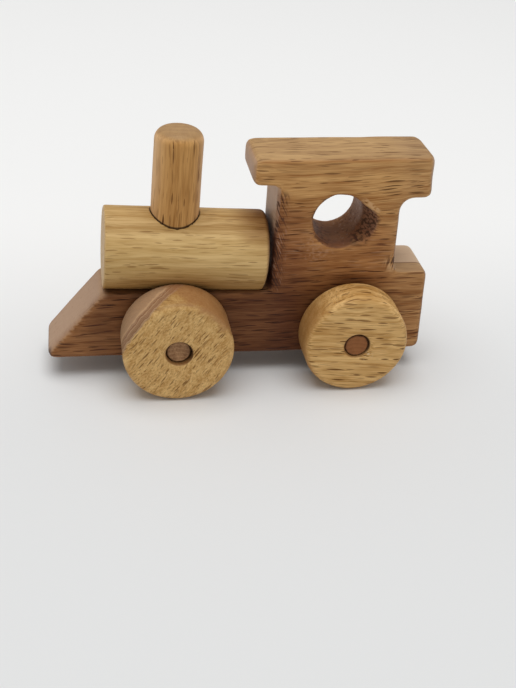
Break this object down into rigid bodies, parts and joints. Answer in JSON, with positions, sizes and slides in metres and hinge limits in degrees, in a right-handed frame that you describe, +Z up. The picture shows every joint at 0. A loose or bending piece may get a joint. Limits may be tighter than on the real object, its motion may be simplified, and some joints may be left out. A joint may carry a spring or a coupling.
{
  "type": "toy train",
  "caption": "Push-along wooden toy train: sawn board body with nose, cab, roof and round window, dowel boiler and chimney, and disc wheels on dowel axles that turn in the body.",
  "frame": {"origin": "on the floor that the wheels stand on, below the middle of the body's length and width", "axes": "+X towards the nose, +Y to the train's left, +Z up"},
  "size_m": [0.1236, 0.0514, 0.0813],
  "materials": {
    "body_wood": "reddish brown hardwood, sanded and oiled",
    "boiler_wood": "pale straight-grained dowel, oiled",
    "chimney_wood": "mid-brown flecked dowel, oiled",
    "wheel_wood": "pale flecked hardwood, sanded and oiled",
    "axle_wood": "brown dowel, end grain showing"
  },
  "bodies": {
    "body": {"body": "body_wood", "boiler": "boiler_wood", "chimney": "chimney_wood"},
    "front_wheelset": {"front_axle": "axle_wood", "front_wheel_left": "wheel_wood", "front_wheel_right": "wheel_wood"},
    "rear_wheelset": {"rear_axle": "axle_wood", "rear_wheel_left": "wheel_wood", "rear_wheel_right": "wheel_wood"}
  },
  "joints": [
    {"name": "front_wheels_turn", "type": "hinge", "parent": "body", "child": "front_wheelset", "pos_m": [0.02155, 0, 0.0175], "axis": [0, 1, 0], "continuous": true},
    {"name": "rear_wheels_turn", "type": "hinge", "parent": "body", "child": "rear_wheelset", "pos_m": [-0.03585, 0, 0.01705], "axis": [0, 1, 0], "continuous": true}
  ]
}
